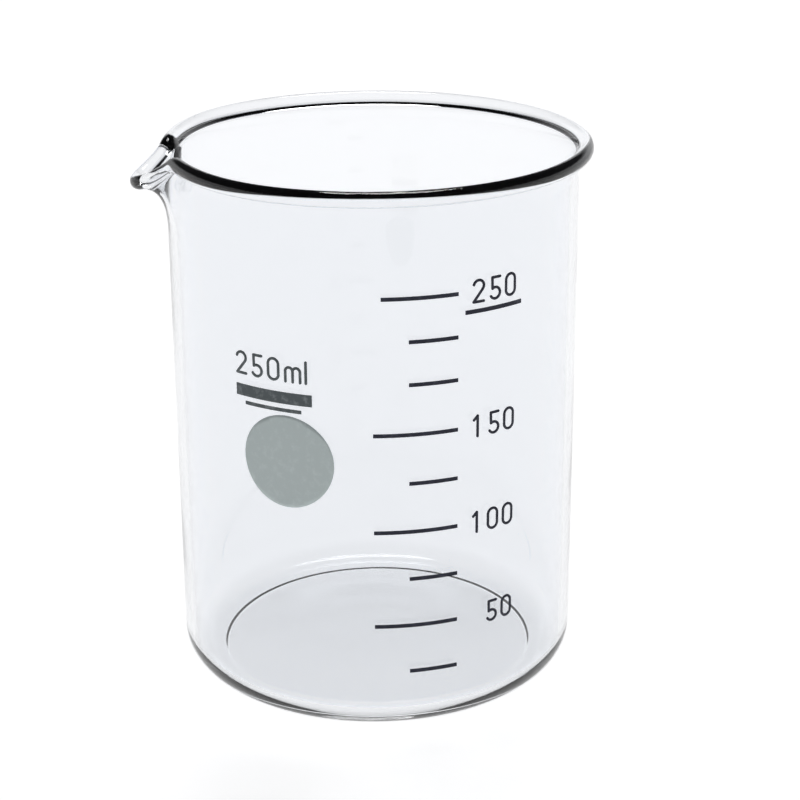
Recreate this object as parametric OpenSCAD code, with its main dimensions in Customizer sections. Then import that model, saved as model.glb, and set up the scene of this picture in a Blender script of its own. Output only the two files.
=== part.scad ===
// Low-form laboratory beaker of 250 ml. One piece of blown glass holds the foot, the wall, the
// beaded rim and the pouring spout. Everything printed on it is enamel fired onto the outside:
// nine lines, four numbers, a capacity mark, three plain bars and a spot to write on.
// The origin is the centre of the foot, on the vessel's axis. The spout points along -X and the
// scale faces -Y. Azimuths are in degrees from -Y, and grow to the right of someone reading it.

/* [Vessel] */
// Outer diameter of the straight wall
body_d = 70; // [64:1:76]
// Height from the foot to the top of the rim
height = 95; // [92:1:110]
// Thickness of the wall
wall_t = 1.5; // [1.2:0.1:1.8]

/* [Rim] */
// Diameter of the bead that ends the wall
bead_d = 2.6; // [2.4:0.1:3]
// How far outside the wall the bead's centre lies
bead_out = 1; // [0.8:0.1:1.4]
// How far the flared wall leans out where it meets the bead
lean = 34; // [28:1:38]

/* [Foot] */
// Radius of the outer heel
heel_r = 6.25; // [5:0.25:7]
// Radius of the inner heel
inner_heel_r = 4; // [3.5:0.25:5]
// Thickness of the floor at its edge
floor_t = 2.5; // [2:0.1:3.5]
// Width of the flat ring that the beaker stands on
ring_w = 0.5; // [0.3:0.1:1.5]
// Width of the step up just inside that ring
step_w = 1; // [0.8:0.1:1.5]
// Height of that step
step_h = 0.3; // [0.2:0.05:0.5]
// How far the underside rises in all
kick_up = 0.8; // [0.6:0.1:1.2]
// Radius of the level middle of the underside
kick_flat = 8; // [4:1:12]

/* [Spout] */
// How far the spout stands out from the rim
spout_out = 3.7; // [3:0.1:4.5]
// How far the spout's lip hangs below the rim
spout_drop = 4.4; // [3:0.2:5]
// Depth of the drawn glass below the bead
spout_h = 13; // [10:1:20]
// Half the angle of the drawn glass
spout_a = 54; // [50:2:58]
// Sharpness of the spout in plan
spout_power = 66; // [56:2:80]
// How much the rim draws in beside the spout, as a share of spout_out
pinch = 0.42; // [0.3:0.02:0.5]
// Sharpness of the draw-in
pinch_power = 2; // [2:0.5:4]
// How fast the spout fades down the wall
fade_power = 2.5; // [2:0.5:4]

/* [Enamel] */
// Thickness of the fired enamel
enamel_t = 0.12; // [0.1:0.02:0.2]
// Width of a graduation line
line_w = 0.65; // [0.5:0.05:0.9]
// Width of a digit's stroke
pen = 0.45; // [0.35:0.05:0.6]
// Height of a digit on the scale
digit_h = 4; // [3.5:0.1:5]
// Width of a digit as a share of its height
digit_share = 0.58; // [0.5:0.02:0.64]
// Space between two digits
digit_gap = 0.8; // [0.6:0.1:1.2]

/* [Scale] */
// Height of the lowest line
scale_z = 12; // [10:0.5:14]
// Step from line to line, up to the seventh
low_step = 8.5; // [7:0.1:8.8]
// Step between the top lines
top_step = 7.2; // [6:0.1:7.5]
// Azimuth where every line ends
line_end = 13; // [8:1:14]
// Length of a numbered line
long_line = 14; // [12:0.5:16]
// Length of the top line
top_line = 12.6; // [11:0.2:14]
// Length of a line with no number
short_line = 8.2; // [6:0.2:10]
// Azimuth where every number ends
number_end = 31; // [30:1:36]

/* [Capacity mark] */
// Azimuth where the mark's rows start
mark_start = -49; // [-52:1:-46]
// Height of the middle of the capacity number
capacity_z = 64.7; // [64.2:0.1:68]
// Height of the middle of the thick bar
name_bar_z = 60; // [59.4:0.1:60.6]
// Height of the middle of the thin bar
detail_bar_z = 57.9; // [57.7:0.1:58]
// Diameter of the writing spot
spot_d = 16; // [12:0.5:16.5]
// Height of the spot's centre
spot_z = 49; // [46:0.5:49]
// Azimuth of the spot's centre
spot_azimuth = -33.5; // [-36:0.5:-30]

/* [Hidden] */
$fn = 96;

body_r = body_d / 2;
inner_r = body_r - wall_t;
mid_r = body_r - wall_t / 2;
bead_r = bead_d / 2;
bead_z = height - bead_r;
bead_low = height - bead_d;
bead_proud = 0.06;
flare_r = to_micron((bead_out + wall_t - (bead_r - bead_proud) * cos(lean)) / (1 - cos(lean)));
flare_to_bead = flare_r - bead_r + bead_proud;
flare_z = to_micron(bead_z - flare_to_bead * sin(lean));
kick_r = body_r - heel_r - ring_w;
step_in = kick_r - step_w;
spout_z = bead_low - spout_h;

drawn_thin = 0.03;
weld_a = 1;
weld_h = 1;
step_steps = 5;
kick_steps = 10;
wall_steps = 6;
flare_steps = 5;
bead_steps = 18;
spout_steps = 56;

digit_w = digit_h * digit_share;
glass = [0.86, 0.91, 0.92, 0.4];
ink = [0.10, 0.11, 0.15];
grey_ink = [0.34, 0.38, 0.38];
spot_ink = [0.62, 0.66, 0.65];

// Points of a wave from one place to another, level at both ends, without the first.
function wave(from, to, steps) = [
    for (i = [1:steps])
        let (share = (1 - cos(180 * i / steps)) / 2)
        [from[0] + (to[0] - from[0]) * i / steps, from[1] + (to[1] - from[1]) * share]
];

// The flare's sizes are whole microns, so that it meets the wall exactly.
function to_micron(size) = round(size * 1000) / 1000;

function degrees_of(length) = length / body_r * 180 / PI;

// The turned glass: foot, heel, wall, flare and bead in one section, open where the spout goes.
// The bead bulges on the outside: inside, it stands hardly proud of the flared face.

module sector(r, from, to) {
    polygon([[0, 0], for (i = [0:4]) let (a = from + (to - from) * i / 4) r * [cos(a), sin(a)]]);
}

module ring_arc(r, w, from, to) {
    intersection() {
        difference() {
            circle(r + w / 2);
            circle(r - w / 2);
        }
        sector(2 * (r + w), from, to);
    }
}

module rounded_section(r, round_r, h) {
    square([r - round_r, h]);
    translate([0, round_r]) square([r, h - round_r]);
    translate([r - round_r, round_r]) circle(round_r);
}

// The hollow of the underside: a small step inside the ring, then a shallow dome.
module kick_section() {
    step = wave([kick_r, 0], [step_in, step_h], step_steps);
    dome = wave([step_in, step_h], [kick_flat, kick_up], kick_steps);
    polygon(concat([[0, 0], [kick_r, 0]], step, dome, [[0, kick_up]]));
}

module turned_section() {
    difference() {
        rounded_section(body_r, heel_r, flare_z);
        translate([0, floor_t]) rounded_section(inner_r, inner_heel_r, height);
        kick_section();
    }
    translate([inner_r + flare_r, flare_z])
        ring_arc(flare_r - wall_t / 2, wall_t, 180 - lean, 180);
    translate([body_r + bead_out, bead_z]) circle(bead_r);
}

module turned_glass() {
    difference() {
        rotate_extrude() turned_section();
        rotate([0, 0, 180]) translate([0, 0, spout_z]) linear_extrude(height)
            sector(2 * body_r, -spout_a, spout_a);
    }
}

// The spout. Its section is the upper wall's outline, as [distance out from the middle of the
// wall, height]. The outline is carried round the vessel and drawn out, in and down on the way.
// Drawing thins the glass a little, so its edges run on inside the turned wall and weld to it.

drawn_z = spout_z - weld_h;
drawn_bead_r = bead_r - drawn_thin;
drawn_in_r = flare_r - drawn_thin;
drawn_out_r = flare_r - wall_t + drawn_thin;

// The angle between two sides of a triangle, opposite the third

function corner(a, b, opposite) = acos((a * a + b * b - opposite * opposite) / (2 * a * b));

// One face of the drawn wall, upwards: straight, then round the flare's centre at radius r

function wall_line(r) =
    let (d = flare_r - wall_t / 2, stop = lean - corner(flare_to_bead, r, drawn_bead_r))
    [
        for (i = [0:wall_steps - 1]) [d - r, drawn_z + (flare_z - drawn_z) * i / wall_steps],
        for (i = [0:flare_steps])
            let (a = stop * i / flare_steps)
            [d - r * cos(a), flare_z + r * sin(a)]
    ];

function bead_arc() =
    let (
        from = -lean - corner(flare_to_bead, drawn_bead_r, drawn_out_r),
        to = 360 - lean - corner(flare_to_bead, drawn_bead_r, drawn_in_r)
    )
    [for (i = [1:bead_steps - 1])
        let (a = from + (to - from) * i / bead_steps)
        [wall_t / 2 + bead_out + drawn_bead_r * cos(a), bead_z + drawn_bead_r * sin(a)]];

function reversed(points) = [for (i = [len(points) - 1:-1:0]) points[i]];

spout_section = concat(wall_line(drawn_out_r), bead_arc(), reversed(wall_line(drawn_in_r)));

function inside(a) = max(0, 1 - pow(a / spout_a, 2));

function lobe(a, power) = pow(inside(a), power);

function lobe_slope(a, power) =
    -2 * power * a / pow(spout_a, 2) * pow(inside(a), power - 1) * 180 / PI;

function pull(a) = spout_out * ((1 + pinch) * lobe(a, spout_power) - pinch * lobe(a, pinch_power));

function pull_slope(a) =
    spout_out * ((1 + pinch) * lobe_slope(a, spout_power) - pinch * lobe_slope(a, pinch_power));

function fade(z) = pow(max(0, 1 - max(0, bead_low - z) / spout_h), fade_power);

function spout_point(a, p) =
    let (
        r = mid_r + pull(a) * fade(p[1]),
        slope = pull_slope(a) * fade(p[1]),
        out = p[0] / norm([r, slope]),
        along = [cos(180 + a), sin(180 + a)],
        across = [-sin(180 + a), cos(180 + a)],
        place = r * along + out * (r * along - slope * across)
    )
    [place[0], place[1], p[1] - spout_drop * lobe(a, spout_power) * fade(p[1])];

// The flat ends of the drawn glass: quads across the wall, then the bead

function end_faces(start) =
    let (n = len(spout_section), m = wall_steps + flare_steps + 1)
    [
        for (i = [0:m - 2]) [for (j = [i, i + 1, n - 2 - i, n - 1 - i]) start + j],
        [for (j = [m - 1:n - m]) start + j]
    ];

// Azimuths from the spout's middle, closer together near its tip

function drawn_a(i) = let (t = 2 * i / spout_steps - 1) (spout_a + weld_a) * t * (1 + t * t) / 2;

module spout() {
    n = len(spout_section);
    points = [for (i = [0:spout_steps]) for (p = spout_section) spout_point(drawn_a(i), p)];
    sides = [
        for (i = [0:spout_steps - 1])
            for (j = [0:n - 1])
                let (a = i * n + j, b = i * n + (j + 1) % n)
                each [[a, b, b + n], [a, b + n, a + n]]
    ];
    first_end = [for (face = end_faces(0)) reversed(face)];
    last_end = end_faces(spout_steps * n);
    polyhedron(points, concat(sides, first_end, last_end));
}

module glass_vessel() {
    color(glass) union() {
        turned_glass();
        spout();
    }
}

// Enamel. A bar follows the wall between two azimuths. A glyph is a flat outline pressed onto it.

module wall_bar(z, from, to, h) {
    rotate([0, 0, from - 90]) rotate_extrude(angle = to - from)
        translate([body_r, z - h / 2]) square([enamel_t, h]);
}

module on_wall(azimuth, z) {
    intersection() {
        difference() {
            cylinder(r = body_r + enamel_t, h = height);
            translate([0, 0, -1]) cylinder(r = body_r, h = height + 2);
        }
        rotate([0, 0, azimuth]) translate([0, -body_r * 0.9, z]) rotate([90, 0, 0])
            linear_extrude(body_r * 0.2) children();
    }
}

module stroke(from, to) {
    d = to - from;
    translate(from) rotate(atan2(d[1], d[0])) {
        translate([0, -pen / 2]) square([norm(d), pen]);
        circle(d = pen);
        translate([norm(d), 0]) circle(d = pen);
    }
}

module bow(centre, r, from, to) {
    translate(centre) {
        ring_arc(r, pen, from, to);
        for (a = [from, to]) rotate(a) translate([r, 0]) circle(d = pen);
    }
}

// A digit stands on y = 0, between x = 0 and x = digit_w for its height h

module digit(value, h) {
    w = h * digit_share;
    r = (w - pen) / 2;
    low = pen / 2;
    high = h - pen / 2;
    if (value == 0) {
        bow([w / 2, high - r], r, 0, 180);
        bow([w / 2, low + r], r, 180, 360);
        for (x = [low, w - low]) stroke([x, low + r], [x, high - r]);
    }
    if (value == 1) {
        stroke([w / 2, low], [w / 2, high]);
        stroke([w / 2, high], [w * 0.2, high - w * 0.3]);
    }
    if (value == 2) {
        bow([w / 2, high - r], r, -40, 165);
        stroke([w / 2 + r * cos(40), high - r - r * sin(40)], [low, low]);
        stroke([low, low], [w - low, low]);
    }
    if (value == 5) {
        bow([w / 2, low + r], r, -150, 125);
        stroke([w / 2 - r * cos(55), low + r + r * sin(55)], [w * 0.25, high]);
        stroke([w * 0.25, high], [w - low, high]);
    }
}

module number(digits, h, end, z) {
    step = degrees_of(h * digit_share + digit_gap);
    for (i = [0:len(digits) - 1])
        on_wall(end - degrees_of(h * digit_share / 2) - step * (len(digits) - 1 - i), z)
            translate([-h * digit_share / 2, -h / 2]) digit(digits[i], h);
}

// The unit is an m and an l side by side, on y = 0

module unit(h) {
    r = h * 0.16;
    x_height = h * 0.66;
    for (i = [0:2]) stroke([pen / 2 + 2 * r * i, pen / 2], [pen / 2 + 2 * r * i, x_height - r]);
    for (i = [0, 1]) bow([pen / 2 + r + 2 * r * i, x_height - r], r, 0, 180);
    stroke([4 * r + 2 * pen + 0.3, pen / 2], [4 * r + 2 * pen + 0.3, h - pen / 2]);
}

function line_z(i) = scale_z + low_step * min(i, 6) + top_step * max(i - 6, 0);

module graduation(i, length) {
    color(ink) wall_bar(line_z(i), line_end - degrees_of(length), line_end, line_w);
}

module scale_number(digits, i) {
    color(ink) number(digits, digit_h, number_end, line_z(i));
}

module line_250() { graduation(8, top_line); }
module line_225() { graduation(7, short_line); }
module line_200() { graduation(6, short_line); }
module line_150() { graduation(5, long_line); }
module line_125() { graduation(4, short_line); }
module line_100() { graduation(3, long_line); }
module line_75() { graduation(2, short_line); }
module line_50() { graduation(1, long_line); }
module line_25() { graduation(0, short_line); }

module number_250() { scale_number([2, 5, 0], 8); }
module number_150() { scale_number([1, 5, 0], 5); }
module number_100() { scale_number([1, 0, 0], 3); }
module number_50() { scale_number([5, 0], 1); }

module scale_bar() {
    color(ink) wall_bar(line_z(8) - digit_h / 2 - 1.3, number_end - 16, number_end + 2, 0.7);
}

capacity_end = mark_start + degrees_of(3 * digit_w + 2 * digit_gap);

module capacity_number() {
    color(grey_ink) number([2, 5, 0], digit_h, capacity_end, capacity_z);
}

module capacity_unit() {
    color(grey_ink) on_wall(capacity_end + degrees_of(digit_gap + 2), capacity_z)
        translate([-2, -digit_h / 2]) unit(digit_h);
}

module name_bar() {
    color(grey_ink) wall_bar(name_bar_z, mark_start, mark_start + 23, 2);
}

module detail_bar() {
    color(grey_ink) wall_bar(detail_bar_z, mark_start + 3, mark_start + 20, 0.6);
}

module writing_spot() {
    color(spot_ink) on_wall(spot_azimuth, spot_z) circle(d = spot_d);
}

glass_vessel();
line_250();
line_225();
line_200();
line_150();
line_125();
line_100();
line_75();
line_50();
line_25();
number_250();
number_150();
number_100();
number_50();
scale_bar();
capacity_number();
capacity_unit();
name_bar();
detail_bar();
writing_spot();
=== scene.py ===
"""A 250 ml low-form glass beaker on a pale table, seen from a little above."""

from math import acos, cos, hypot, pi, radians, sin

import bmesh
import bpy
from mathutils import Matrix, Vector


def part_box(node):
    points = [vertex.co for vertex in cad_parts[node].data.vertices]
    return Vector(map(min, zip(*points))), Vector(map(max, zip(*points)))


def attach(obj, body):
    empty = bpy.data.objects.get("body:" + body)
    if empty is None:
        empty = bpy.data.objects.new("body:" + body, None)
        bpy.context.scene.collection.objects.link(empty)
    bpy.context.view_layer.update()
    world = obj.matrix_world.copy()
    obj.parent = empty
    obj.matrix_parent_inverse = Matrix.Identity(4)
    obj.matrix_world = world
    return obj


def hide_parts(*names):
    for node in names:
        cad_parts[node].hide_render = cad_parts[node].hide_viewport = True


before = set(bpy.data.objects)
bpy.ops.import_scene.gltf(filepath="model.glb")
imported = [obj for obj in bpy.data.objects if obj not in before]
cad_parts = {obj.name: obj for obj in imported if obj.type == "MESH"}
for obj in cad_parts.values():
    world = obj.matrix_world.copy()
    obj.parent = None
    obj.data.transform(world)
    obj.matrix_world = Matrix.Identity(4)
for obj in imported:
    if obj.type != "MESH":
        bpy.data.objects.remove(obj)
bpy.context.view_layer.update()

MM = 0.001
BODY = "root"

# The vessel, in metres. Its height and the radius of its rim come from the CAD vessel's box.
vessel_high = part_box("glass_vessel")[1]

BODY_R = 35 * MM
WALL_T = 1.5 * MM
MID_R = BODY_R - WALL_T / 2
INNER_R = BODY_R - WALL_T

# The flared rim. Its inner face runs straight into the bead, which bulges on the outside.
BEAD_R = 1.3 * MM
LEAN = radians(34)
NECK_EASE = radians(12)
BEAD = (vessel_high.x - BEAD_R, vessel_high.z - BEAD_R)
FLARE_R = (BEAD[0] - INNER_R - BEAD_R * cos(LEAN)) / (1 - cos(LEAN))
FLARE = (INNER_R + FLARE_R, BEAD[1] - (FLARE_R - BEAD_R) * sin(LEAN))

HEEL_R = 6.25 * MM
INNER_HEEL_R = 4 * MM
FLOOR_T = 2.5 * MM
RING_R = BODY_R - HEEL_R
RING_W = 0.5 * MM
STEP_W = 1.0 * MM
STEP_H = 0.3 * MM
KICK_UP = 0.8 * MM
KICK_FLAT = 8 * MM
KICK_R = RING_R - RING_W

# The spout, drawn out of the rim over the angle SPOUT_A to each side, down to DRAWN_FROM
SPOUT_OUT = 3.7 * MM
SPOUT_DROP = 4.4 * MM
SPOUT_H = 13 * MM
SPOUT_A = radians(54)
SPOUT_POWER = 66
PINCH = 0.42
PINCH_POWER = 2
FADE_POWER = 2.5
DRAWN_FROM = BEAD[1] - BEAD_R - SPOUT_H

# How many steps the vessel's mesh takes along its section and round its axis
FLAT_STEPS = 4
DOME_STEPS = 20
RISE_STEPS = 10
RING_STEPS = 3
HEEL_STEPS = 16
LOW_WALL_STEPS = 8
HIGH_WALL_STEPS = 18
OUTER_FLARE_STEPS = 14
NECK_STEPS = 6
BEAD_STEPS = 36
INNER_FLARE_STEPS = 18
FLOOR_STEPS = 16
SPOUT_TURNS = 160
FAR_TURNS = 200

# The enamel, and how finely its meshes are cut
ENAMEL_T = 0.12 * MM
CUT_LENGTH = 0.9 * MM
CUT_PASSES = 5
MERGE_WITHIN = 0.001 * MM

DARK_PRINTS = [
    "line_250", "line_225", "line_200", "line_150", "line_125", "line_100", "line_75", "line_50",
    "line_25",
    "number_250", "number_150", "number_100", "number_50", "scale_bar",
]
GREY_PRINTS = ["capacity_number", "capacity_unit", "name_bar", "detail_bar"]
SPOT_PRINTS = ["writing_spot"]

# Each enamel's name, its prints, its colour where it is thin and where it covers, its roughness
ENAMELS = [
    ("dark_enamel", DARK_PRINTS, (0.045, 0.05, 0.075), (0.012, 0.014, 0.028), 0.45),
    ("grey_enamel", GREY_PRINTS, (0.20, 0.22, 0.23), (0.085, 0.10, 0.105), 0.5),
    ("spot_enamel", SPOT_PRINTS, (0.54, 0.60, 0.595), (0.48, 0.54, 0.535), 0.75),
]
ENAMEL_IOR = 1.5
ENAMEL_SHINE = 0.25

# The enamel's patterns, in features a metre. It covers from the first place of COVER to the second.
COVER_SCALE = 900
COVER = (0.28, 0.5)
SATIN_SCALE = 2500
SATIN_SPREAD = 0.12
GRAIN_SCALE = 6000
GRAIN_DEPTH = 0.01 * MM

# The glass. SMEAR is its faint unevenness in polish, WAVES are those of blown glass.
GLASS_TINT = (0.898, 0.909, 0.926)
GLASS_SHADOW = (0.975, 0.98, 0.985)
GLASS_IOR = 1.473
SMEAR_SCALE = 90
SMEAR_ROUGHNESS = 0.03
WAVES_SCALE = 45
WAVES_DEPTH = 0.05 * MM

# The table lies a hair under the foot, so that the two don't share a plane
TABLE_SIZE = 3.0
TABLE_DROP = 0.02 * MM
TABLE_SHADES = [(0.3, (0.93, 0.93, 0.93)), (0.7, (0.96, 0.96, 0.96))]
TABLE_GRAIN_SCALE = 120
TABLE_ROUGHNESS = 0.9
TABLE_SHINE = 0.1
TABLE_GLOW = 0.62

# The room's colour by the sine of the height above the horizon: pale walls, a dark ceiling
ROOM = [
    (0.0, (0.93, 0.94, 0.96)),
    (0.24, (0.88, 0.89, 0.91)),
    (0.36, (0.05, 0.05, 0.055)),
    (1.0, (0.04, 0.04, 0.045)),
]

LAMP_PLACE = (0.15, 0.55, 1.5)
LAMP_SIZE = 0.6
LAMP_POWER = 9

# The camera is turned by CAMERA_HEADING about the vessel's axis, and its place turns with it
CAMERA_PLACE = (0.0044, -0.3393, 0.1764)
CAMERA_HEADING = radians(-10)
CAMERA_PITCH = 0.3634
CAMERA_ROLL = -0.0053
CAMERA_LENS = 92.3
CAMERA_SENSOR = 36


# Geometry of the vessel

def arc(centre, radius, start, end, steps):
    """Points on a circle in the section's plane, as (radius from the axis, height)."""
    turns = [start + (end - start) * i / steps for i in range(steps + 1)]
    return [(centre[0] + radius * cos(t), centre[1] + radius * sin(t)) for t in turns]


def line(start, end, steps):
    """Points from start to end, without the ends."""
    return [tuple(a + (b - a) * i / steps for a, b in zip(start, end)) for i in range(1, steps)]


def rise(start, end, steps):
    """A wave from start to end that is level at both, with the ends."""
    turns = [pi * i / steps for i in range(steps + 1)]
    return [(
        start[0] + (end[0] - start[0]) * t / pi,
        start[1] + (end[1] - start[1]) * (1 - cos(t)) / 2,
    ) for t in turns]


def fillet(start, bend, end, steps):
    """A rounded corner between start and end, without the ends."""
    found = []
    for i in range(1, steps):
        t = i / steps
        found.append(tuple(
            (1 - t) ** 2 * a + 2 * t * (1 - t) * b + t * t * c
            for a, b, c in zip(start, bend, end)
        ))
    return found


def corner(a, b, opposite):
    """The angle between two sides of a triangle, opposite the third."""
    return acos((a * a + b * b - opposite * opposite) / (2 * a * b))


def rim_section():
    """The flared wall and its bead, from the outside over the top to the inside."""
    outer_r = FLARE_R - WALL_T
    to_bead = FLARE_R - BEAD_R
    lean_out = LEAN - corner(to_bead, outer_r, BEAD_R)
    bead_from = -LEAN - corner(to_bead, BEAD_R, outer_r)
    meeting = arc(BEAD, BEAD_R, bead_from, bead_from, 1)[0]
    outside = arc(FLARE, outer_r, pi, pi - lean_out + NECK_EASE / 3, OUTER_FLARE_STEPS)
    bead = arc(BEAD, BEAD_R, bead_from + NECK_EASE, pi - LEAN, BEAD_STEPS)
    inside = arc(FLARE, FLARE_R, pi - LEAN, pi, INNER_FLARE_STEPS)
    neck = fillet(outside[-1], meeting, bead[0], NECK_STEPS)
    return outside + neck + bead + inside[1:]


def vessel_section():
    """The turned glass in outline, from the underside's middle to the floor's middle."""
    under = [(0, KICK_UP)] + line((0, KICK_UP), (KICK_FLAT, KICK_UP), FLAT_STEPS)
    dome = rise((KICK_FLAT, KICK_UP), (KICK_R - STEP_W, STEP_H), DOME_STEPS)
    step = rise((KICK_R - STEP_W, STEP_H), (KICK_R, 0), RISE_STEPS)[1:]
    ring = line((KICK_R, 0), (RING_R, 0), RING_STEPS)
    heel = arc((RING_R, HEEL_R), HEEL_R, -pi / 2, 0, HEEL_STEPS)
    rim = rim_section()
    turn_out = (BODY_R, DRAWN_FROM)
    low_out = line(heel[-1], turn_out, LOW_WALL_STEPS)
    wall_out = low_out + [turn_out] + line(turn_out, rim[0], HIGH_WALL_STEPS)

    inner_ring = INNER_R - INNER_HEEL_R
    inner_heel = arc((inner_ring, FLOOR_T + INNER_HEEL_R), INNER_HEEL_R, 0, -pi / 2, HEEL_STEPS)
    turn_in = (INNER_R, DRAWN_FROM)
    low_in = line(turn_in, inner_heel[0], LOW_WALL_STEPS)
    wall_in = line(rim[-1], turn_in, HIGH_WALL_STEPS) + [turn_in] + low_in
    floor = line(inner_heel[-1], (0, FLOOR_T), FLOOR_STEPS) + [(0, FLOOR_T)]
    return under + dome + step + ring + heel + wall_out + rim + wall_in + inner_heel + floor


def lobe(turn, power):
    """A smooth hump that is 1 at the spout's middle and 0 at its sides, and its slope."""
    share = 1 - (turn / SPOUT_A) ** 2
    if share <= 0:
        return 0.0, 0.0
    return share ** power, -2 * power * turn / SPOUT_A ** 2 * share ** (power - 1)


def drawn(turn, radius, height):
    """Where the glass at this radius and height lies, at an angle of turn from the spout."""
    hump, hump_slope = lobe(turn, SPOUT_POWER)
    dip, dip_slope = lobe(turn, PINCH_POWER)
    below = max(0.0, BEAD[1] - BEAD_R - height)
    fade = max(0.0, 1 - below / SPOUT_H) ** FADE_POWER
    middle = MID_R + SPOUT_OUT * fade * ((1 + PINCH) * hump - PINCH * dip)
    slope = SPOUT_OUT * fade * ((1 + PINCH) * hump_slope - PINCH * dip_slope)
    out = (radius - MID_R) / hypot(middle, slope)
    along = Vector((cos(pi + turn), sin(pi + turn)))
    across = Vector((-along.y, along.x))
    place = middle * along + out * (middle * along - slope * across)
    return Vector((place.x, place.y, height - SPOUT_DROP * hump * fade))


def turns_round(fine, coarse):
    """Angles from the spout all the way round, closer together towards the spout's tip."""
    shares = [2 * i / fine - 1 for i in range(fine)]
    near = [SPOUT_A * t * (1 + t * t) / 2 for t in shares]
    far = [SPOUT_A + (2 * pi - 2 * SPOUT_A) * i / coarse for i in range(coarse)]
    return near + far


def make_vessel():
    """The blown vessel as one closed surface, finer than the CAD solid that it stands for."""
    section = vessel_section()
    turns = turns_round(SPOUT_TURNS, FAR_TURNS)
    mesh = bmesh.new()
    rings = []
    for radius, height in section[1:-1]:
        rings.append([mesh.verts.new(drawn(t, radius, height)) for t in turns])
    count = len(turns)
    for lower, upper in zip(rings, rings[1:]):
        for i in range(count):
            j = (i + 1) % count
            mesh.faces.new((lower[i], lower[j], upper[j], upper[i]))
    under = mesh.verts.new((0, 0, section[0][1]))
    floor = mesh.verts.new((0, 0, section[-1][1]))
    for i in range(count):
        j = (i + 1) % count
        mesh.faces.new((under, rings[0][j], rings[0][i]))
        mesh.faces.new((floor, rings[-1][i], rings[-1][j]))
    bmesh.ops.recalc_face_normals(mesh, faces=mesh.faces)
    for face in mesh.faces:
        face.smooth = True
    return finished("vessel_glass", mesh)


def finished(name, mesh):
    """A bmesh as an object in the scene."""
    data = bpy.data.meshes.new(name)
    mesh.to_mesh(data)
    mesh.free()
    piece = bpy.data.objects.new(name, data)
    bpy.context.scene.collection.objects.link(piece)
    return piece


# Geometry of the enamel

def raised(vert):
    """Whether a point lies on the print's outer face, not on the wall."""
    return hypot(vert.co.x, vert.co.y) > BODY_R + ENAMEL_T / 2


def halve(edge):
    """Cuts an edge in two, and the triangles on both its sides."""
    sides = [(f, next(v for v in f.verts if v not in edge.verts)) for f in edge.link_faces]
    middle = bmesh.utils.edge_split(edge, edge.verts[0], 0.5)[1]
    for face, opposite in sides:
        bmesh.utils.face_split(face, middle, opposite)


def cut_finely(mesh):
    """Halves the print's long edges, the longest first, but none across its thickness."""
    for _ in range(CUT_PASSES):
        for edge in sorted(mesh.edges, key=lambda e: -e.calc_length()):
            if edge.calc_length() > CUT_LENGTH and raised(edge.verts[0]) == raised(edge.verts[1]):
                halve(edge)


def make_print(node):
    """A print from its CAD solid: cut finely, then laid exactly on the round wall."""
    mesh = bmesh.new()
    mesh.from_mesh(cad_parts[node].data)
    bmesh.ops.remove_doubles(mesh, verts=mesh.verts, dist=MERGE_WITHIN)
    cut_finely(mesh)
    for vert in mesh.verts:
        radius = hypot(vert.co.x, vert.co.y)
        wanted = BODY_R + ENAMEL_T if raised(vert) else BODY_R
        vert.co.x *= wanted / radius
        vert.co.y *= wanted / radius
    return finished(node + "_enamel", mesh)


# Materials

def new_material(name):
    """A node material, emptied, with its output."""
    material = bpy.data.materials.new(name)
    material.use_nodes = True
    tree = material.node_tree
    tree.nodes.clear()
    return material, tree, tree.nodes.new("ShaderNodeOutputMaterial")


def noise(tree, scale, detail=2.0, rough=0.5):
    """A noise in object space, at a scale in features a metre."""
    coords = tree.nodes.new("ShaderNodeTexCoord")
    texture = tree.nodes.new("ShaderNodeTexNoise")
    texture.inputs["Scale"].default_value = scale
    texture.inputs["Detail"].default_value = detail
    texture.inputs["Roughness"].default_value = rough
    tree.links.new(coords.outputs["Object"], texture.inputs["Vector"])
    return texture.outputs["Fac"]


def ramp(tree, source, stops):
    """A colour ramp from (place, colour) stops."""
    node = tree.nodes.new("ShaderNodeValToRGB")
    elements = node.color_ramp.elements
    while len(elements) < len(stops):
        elements.new(0.5)
    for element, (place, colour) in zip(elements, stops):
        element.position = place
        element.color = (*colour, 1)
    tree.links.new(source, node.inputs["Fac"])
    return node.outputs["Color"]


def mapped(tree, source, low, high):
    """source from 0..1 onto low..high."""
    node = tree.nodes.new("ShaderNodeMapRange")
    node.inputs["To Min"].default_value = low
    node.inputs["To Max"].default_value = high
    tree.links.new(source, node.inputs["Value"])
    return node.outputs["Result"]


def bump(tree, height, distance, strength=1.0):
    """A bump of that distance in metres."""
    node = tree.nodes.new("ShaderNodeBump")
    node.inputs["Distance"].default_value = distance
    node.inputs["Strength"].default_value = strength
    tree.links.new(height, node.inputs["Height"])
    return node.outputs["Normal"]


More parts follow.
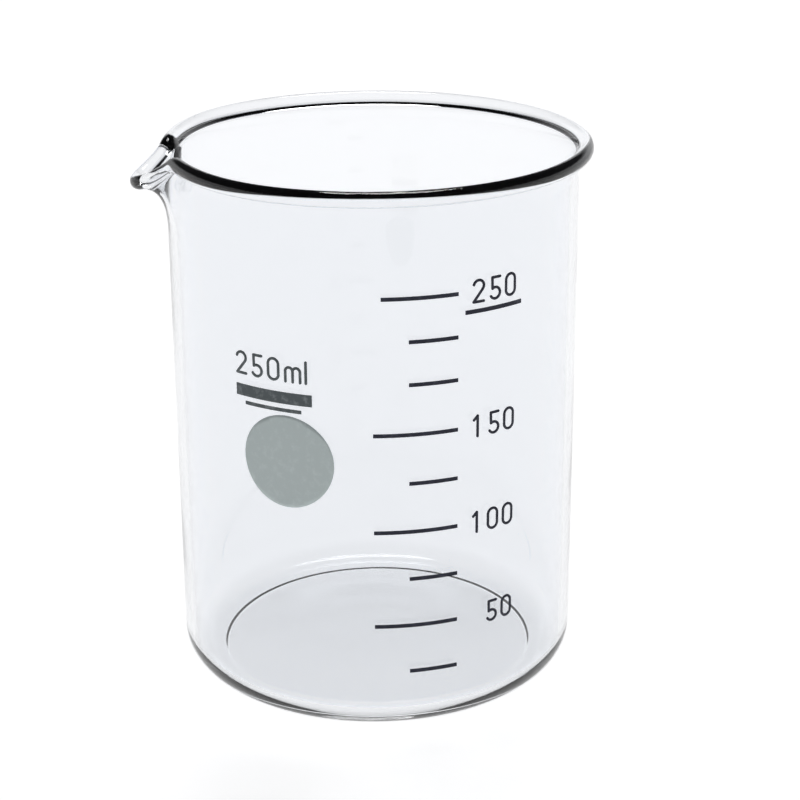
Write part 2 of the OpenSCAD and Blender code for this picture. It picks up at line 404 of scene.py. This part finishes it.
def glass_material():
    """Clear borosilicate with a cool tint and the slight waves of blown glass. Light passes it."""
    material, tree, output = new_material("clear_glass")
    shader = tree.nodes.new("ShaderNodeBsdfPrincipled")
    shader.inputs["Base Color"].default_value = (*GLASS_TINT, 1)
    shader.inputs["Transmission Weight"].default_value = 1.0
    shader.inputs["IOR"].default_value = GLASS_IOR
    smear = mapped(tree, noise(tree, SMEAR_SCALE, 3), 0.0, SMEAR_ROUGHNESS)
    tree.links.new(smear, shader.inputs["Roughness"])
    waves = bump(tree, noise(tree, WAVES_SCALE, 1), WAVES_DEPTH)
    tree.links.new(waves, shader.inputs["Normal"])

    path = tree.nodes.new("ShaderNodeLightPath")
    soft = tree.nodes.new("ShaderNodeMath")
    soft.operation = "MAXIMUM"
    tree.links.new(path.outputs["Is Shadow Ray"], soft.inputs[0])
    tree.links.new(path.outputs["Is Diffuse Ray"], soft.inputs[1])
    clear = tree.nodes.new("ShaderNodeBsdfTransparent")
    clear.inputs["Color"].default_value = (*GLASS_SHADOW, 1)
    mix = tree.nodes.new("ShaderNodeMixShader")
    tree.links.new(soft.outputs[0], mix.inputs["Fac"])
    tree.links.new(shader.outputs[0], mix.inputs[1])
    tree.links.new(clear.outputs[0], mix.inputs[2])
    tree.links.new(mix.outputs[0], output.inputs["Surface"])
    return material


def enamel_material(name, thin, full, rough):
    """Fired enamel: a fine grain, an uneven cover, and a surface that is satin in patches."""
    material, tree, output = new_material(name)
    shader = tree.nodes.new("ShaderNodeBsdfPrincipled")
    cover = noise(tree, COVER_SCALE, 4, 0.65)
    colour = ramp(tree, cover, list(zip(COVER, (thin, full))))
    tree.links.new(colour, shader.inputs["Base Color"])
    satin = mapped(tree, noise(tree, SATIN_SCALE, 2), rough - SATIN_SPREAD, rough + SATIN_SPREAD)
    tree.links.new(satin, shader.inputs["Roughness"])
    grain = bump(tree, noise(tree, GRAIN_SCALE, 3), GRAIN_DEPTH, 0.6)
    tree.links.new(grain, shader.inputs["Normal"])
    shader.inputs["IOR"].default_value = ENAMEL_IOR
    shader.inputs["Specular IOR Level"].default_value = ENAMEL_SHINE
    tree.links.new(shader.outputs[0], output.inputs["Surface"])
    return material


def table_material():
    """A matt white light table with a barely visible grain."""
    material, tree, output = new_material("pale_table")
    shader = tree.nodes.new("ShaderNodeBsdfPrincipled")
    grain = ramp(tree, noise(tree, TABLE_GRAIN_SCALE, 3), TABLE_SHADES)
    tree.links.new(grain, shader.inputs["Base Color"])
    shader.inputs["Roughness"].default_value = TABLE_ROUGHNESS
    shader.inputs["Specular IOR Level"].default_value = TABLE_SHINE
    shader.inputs["Emission Color"].default_value = (1, 1, 1, 1)
    shader.inputs["Emission Strength"].default_value = TABLE_GLOW
    tree.links.new(shader.outputs[0], output.inputs["Surface"])
    return material


def dress(piece, material, slot, *nodes):
    """Gives a piece its material, hides the CAD nodes it stands for, and lets it ride; slot is not
    used.
    """
    piece.data.materials.clear()
    piece.data.materials.append(material)
    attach(piece, BODY)
    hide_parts(*nodes)


def make_beaker():
    """The glass, then every print in its enamel."""
    dress(make_vessel(), glass_material(), "glass", "glass_vessel")
    for name, nodes, thin, full, rough in ENAMELS:
        material = enamel_material(name, thin, full, rough)
        for node in nodes:
            dress(make_print(node), material, name, node)


# Stage

def make_table():
    """A plain pale table, which also stands in for the background."""
    mesh = bmesh.new()
    bmesh.ops.create_grid(mesh, x_segments=1, y_segments=1, size=TABLE_SIZE)
    table = finished("table", mesh)
    table.location.z = -TABLE_DROP
    table.data.materials.append(table_material())


def make_lamp(name, place, size, power):
    """A square lamp that points at the foot."""
    data = bpy.data.lights.new(name, "AREA")
    data.size = size
    data.energy = power
    lamp = bpy.data.objects.new(name, data)
    lamp.location = place
    lamp.rotation_mode = "QUATERNION"
    lamp.rotation_quaternion = (-Vector(place)).to_track_quat("-Z", "Y")
    bpy.context.scene.collection.objects.link(lamp)


def make_world():
    """A pale room under a dark ceiling, which is what draws the rim's bead in black."""
    world = bpy.data.worlds.new("studio")
    bpy.context.scene.world = world
    world.use_nodes = True
    tree = world.node_tree
    split = tree.nodes.new("ShaderNodeSeparateXYZ")
    tree.links.new(tree.nodes.new("ShaderNodeTexCoord").outputs["Generated"], split.inputs[0])
    background = tree.nodes["Background"]
    tree.links.new(ramp(tree, split.outputs["Z"], ROOM), background.inputs["Color"])
    background.inputs["Strength"].default_value = 1.0


def make_camera():
    """Stands a little above the rim, on the side of the scale."""
    data = bpy.data.cameras.new("camera")
    data.sensor_width = CAMERA_SENSOR
    data.lens = CAMERA_LENS
    data.clip_start = 0.01
    camera = bpy.data.objects.new("camera", data)
    turn = Matrix.Rotation(CAMERA_HEADING, 4, "Z")
    place = turn @ Vector(CAMERA_PLACE)
    level = Matrix.Rotation(pi / 2 - CAMERA_PITCH, 4, "X")
    tilt = level @ Matrix.Rotation(CAMERA_ROLL, 4, "Z")
    camera.matrix_world = Matrix.Translation(place) @ turn @ tilt
    bpy.context.scene.collection.objects.link(camera)
    bpy.context.scene.camera = camera


def make_stage():
    make_camera()
    make_table()
    make_world()
    make_lamp("key", LAMP_PLACE, LAMP_SIZE, LAMP_POWER)
    bpy.context.scene.view_settings.view_transform = "Standard"


make_stage()
make_beaker()
